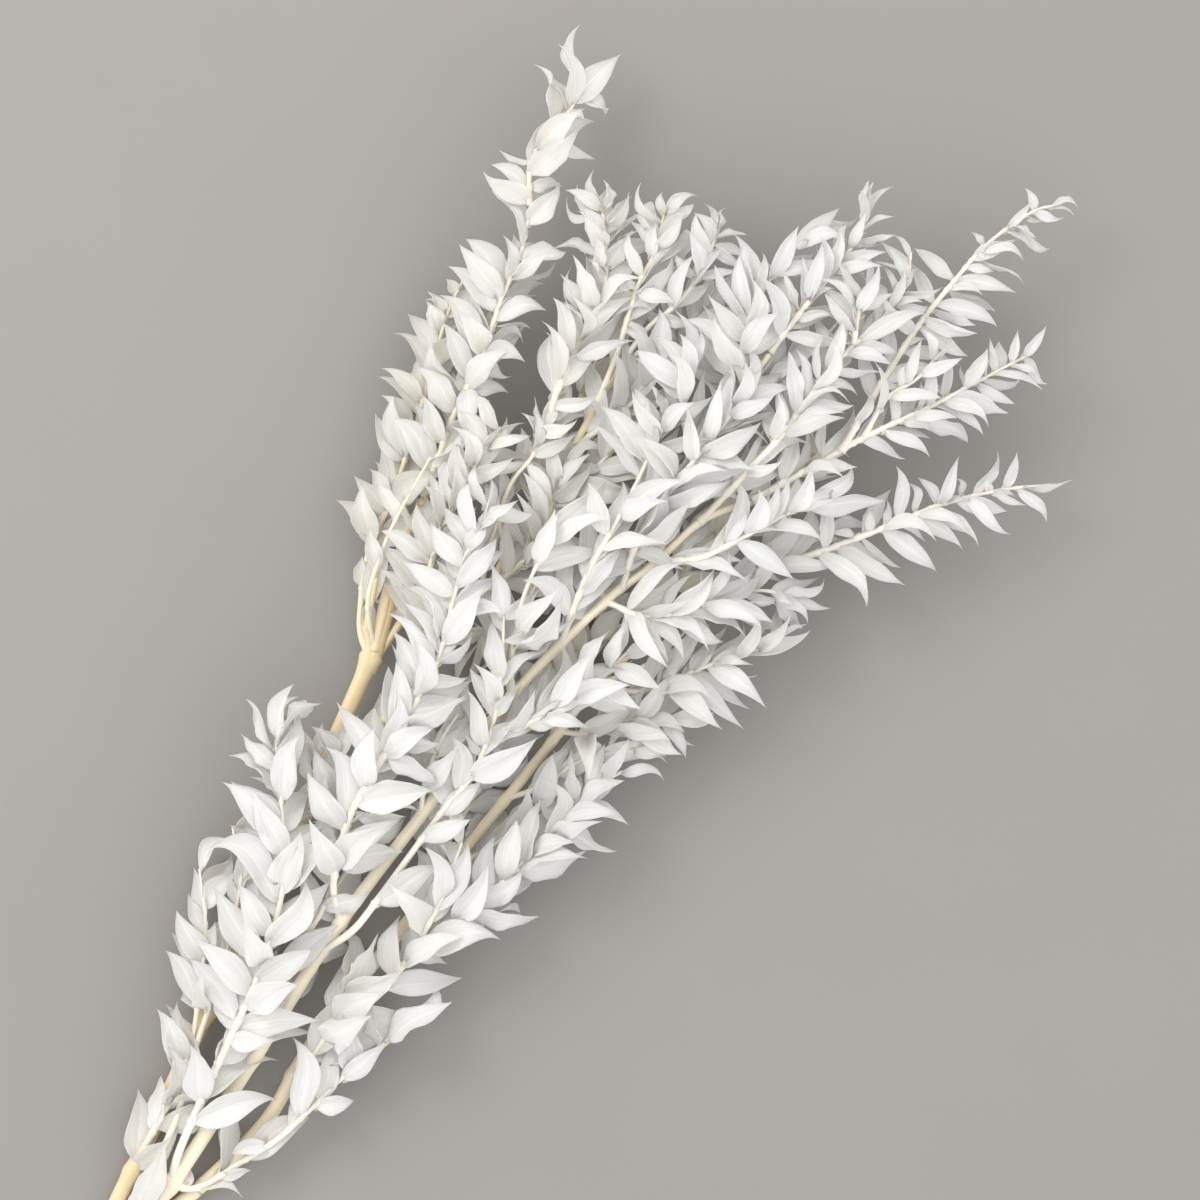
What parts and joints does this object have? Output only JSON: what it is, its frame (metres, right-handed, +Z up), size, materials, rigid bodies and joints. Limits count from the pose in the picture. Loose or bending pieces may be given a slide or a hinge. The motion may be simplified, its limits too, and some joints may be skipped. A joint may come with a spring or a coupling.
{
  "type": "dried ruscus stem",
  "caption": "Dried, bleached ruscus stem lying down: a straw-coloured woody stem forking into long canes, with white twigs of pointed oval leaves.",
  "frame": {"origin": "on the surface that the stem lies on, under the middle of its box", "axes": "+X from the cut end towards the leaf tips, +Y across the fan of canes, +Z up"},
  "size_m": [0.7803, 0.3435, 0.0862],
  "materials": {
    "cane": "satin",
    "leaf": "satin"
  },
  "bodies": {
    "root": {"stem": "cane", "twig_low_left": "leaf", "twig_low_white": "leaf", "twig_low_ivory": "leaf", "twig_low_curl": "leaf", "twig_low_broad": "leaf", "twig_mid_left": "leaf", "twig_left_small": "leaf", "twig_right_low": "leaf", "twig_slender": "leaf", "twig_long_left": "leaf", "twig_behind_left": "leaf", "twig_behind_mid": "leaf", "twig_behind_up": "leaf", "twig_mid_up": "leaf", "twig_mid_right": "leaf", "twig_mid_whorl": "leaf", "twig_over_cane": "leaf", "twig_right_mid": "leaf", "twig_right_tuft": "leaf", "twig_right_reach": "leaf", "twig_right_fan": "leaf", "twig_tip_fan": "leaf", "twig_tip_low": "leaf", "twig_tip_fill": "leaf", "twig_tip_mid": "leaf", "twig_crown_long": "leaf", "twig_crown_right": "leaf", "twig_crown_mid": "leaf", "twig_crown_deep": "leaf", "twig_top_left": "leaf", "twig_top_mid": "leaf", "twig_top_right": "leaf", "twig_upper_main": "leaf", "twig_upper_back": "leaf", "twig_upper_low": "leaf", "twig_bed_low": "leaf", "twig_bed_mid": "leaf", "twig_bed_left": "leaf", "twig_bed_right": "leaf"}
  },
  "joints": []
}
